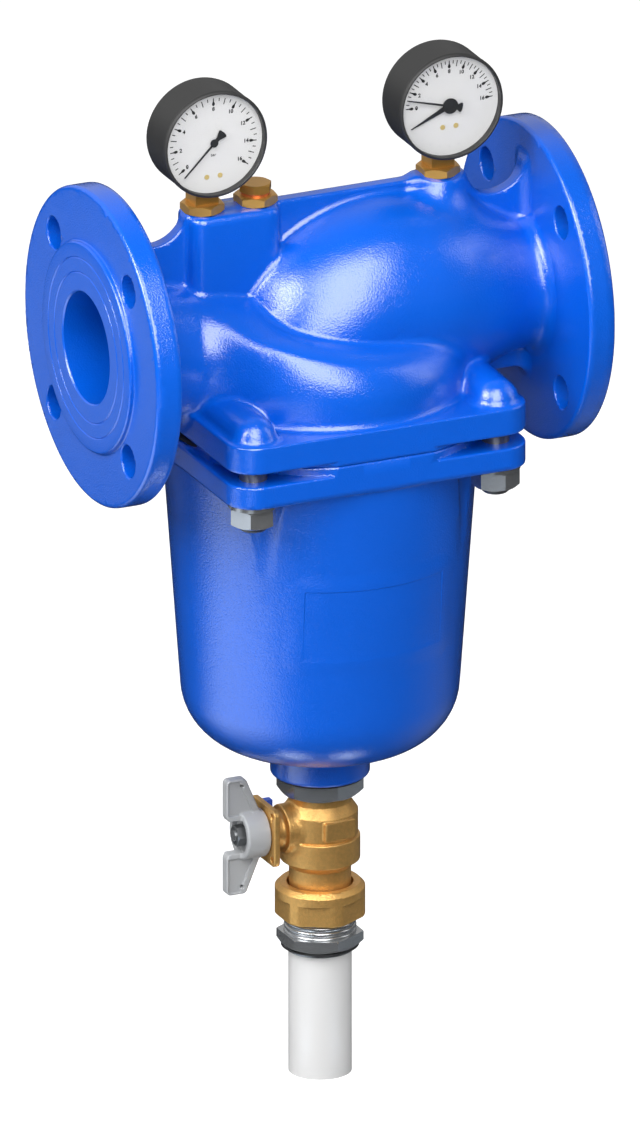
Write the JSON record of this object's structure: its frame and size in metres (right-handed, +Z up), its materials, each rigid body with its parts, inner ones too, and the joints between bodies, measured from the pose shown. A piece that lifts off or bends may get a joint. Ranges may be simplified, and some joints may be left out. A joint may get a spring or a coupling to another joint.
{
  "type": "self-cleaning water filter",
  "caption": "Flanged in-line water filter with a sliding backwash insert in a bolted bowl, a dial gauge on each side of the sieve, a vent plug and a drain ball valve with a wing handle.",
  "frame": {"origin": "centre of the drain pipe's lower end", "axes": "+X along the flow from inlet to outlet, +Y to the back, +Z up"},
  "size_m": [0.29, 0.185, 0.6088],
  "materials": {
    "blue_epoxy": "gloss",
    "zinc_steel": "satin",
    "stainless": "satin",
    "cast_brass": "blasted",
    "turned_brass": "machined",
    "copper": "bare",
    "black_case": "matt",
    "dial_white": "matt",
    "window": "clear",
    "pointer_black": "matt",
    "seal_rubber": "matt",
    "seat_plastic": "smooth",
    "grey_handle": "satin",
    "blue_clip": "gloss",
    "white_pipe": "satin",
    "insert_plastic": "satin",
    "sieve_mesh": "woven"
  },
  "bodies": {
    "housing": {"upper_housing": "blue_epoxy", "filter_bowl": "blue_epoxy", "housing_studs": "zinc_steel", "housing_washers": "zinc_steel", "housing_nuts": "zinc_steel", "bowl_seal": "seal_rubber", "inlet_gauge_bush": "turned_brass", "vent_bush": "turned_brass", "vent_washer": "copper", "vent_plug": "turned_brass", "outlet_gauge_bush": "turned_brass", "inlet_gauge_stem": "turned_brass", "inlet_gauge_case": "black_case", "inlet_gauge_dial": "dial_white", "inlet_gauge_window": "window", "inlet_gauge_tube": "turned_brass", "inlet_gauge_bracket": "turned_brass", "outlet_gauge_stem": "turned_brass", "outlet_gauge_case": "black_case", "outlet_gauge_dial": "dial_white", "outlet_gauge_window": "window", "outlet_gauge_tube": "turned_brass", "outlet_gauge_bracket": "turned_brass", "drain_nipple": "zinc_steel", "nipple_seal": "seal_rubber", "valve_body": "cast_brass", "valve_end_piece": "cast_brass", "ball_seats": "seat_plastic", "stop_clip": "blue_clip", "union_nut": "cast_brass", "union_gasket": "seal_rubber", "drain_tail": "zinc_steel", "tail_lock_nut": "zinc_steel", "pipe_seal": "seal_rubber", "drain_pipe": "white_pipe", "return_spring": "stainless", "spring_seat": "insert_plastic"},
    "drain_valve_turn": {"drain_handle": "grey_handle", "handle_nut": "zinc_steel", "valve_stem": "turned_brass", "valve_ball": "stainless"},
    "inlet_pointer": {"inlet_pointer": "pointer_black"},
    "outlet_pointer": {"outlet_pointer": "pointer_black"},
    "outlet_lower_pointer": {"outlet_lower_pointer": "pointer_black"},
    "filter_insert": {"insert_collar": "insert_plastic", "collar_seal": "seal_rubber", "insert_cage": "insert_plastic", "filter_sieve": "sieve_mesh", "impeller_pin": "stainless"},
    "impeller": {"impeller": "insert_plastic"}
  },
  "joints": [
    {"name": "drain_handle_turn", "type": "hinge", "parent": "housing", "child": "drain_valve_turn", "pos_m": [-0.04, 0, 0.1491], "axis": [1, 0, 0], "range_deg": [0, 90]},
    {"name": "inlet_pointer_turn", "type": "hinge", "parent": "housing", "child": "inlet_pointer", "pos_m": [-0.073, -0.01, 0.5768], "axis": [0, 1, 0], "range_deg": [0, 270], "stiffness_Nm_per_rad": 0.00001},
    {"name": "outlet_pointer_turn", "type": "hinge", "parent": "housing", "child": "outlet_pointer", "pos_m": [0.073, -0.01, 0.5768], "axis": [0, 1, 0], "range_deg": [-15, 165], "stiffness_Nm_per_rad": 0.00001},
    {"name": "outlet_lower_pointer_turn", "type": "hinge", "parent": "housing", "child": "outlet_lower_pointer", "pos_m": [0.073, -0.01, 0.5768], "axis": [0, -1, 0], "range_deg": [0, 130], "stiffness_Nm_per_rad": 0.00001},
    {"name": "insert_slide", "type": "slide", "parent": "housing", "child": "filter_insert", "axis": [0, 0, -1], "range_m": [0, 0.012], "stiffness_N_per_m": 1200, "springref_m": -0.02, "deforming": ["return_spring"]},
    {"name": "impeller_spin", "type": "hinge", "parent": "filter_insert", "child": "impeller", "pos_m": [0, 0, 0.3285], "axis": [0, 0, 1], "continuous": true}
  ]
}
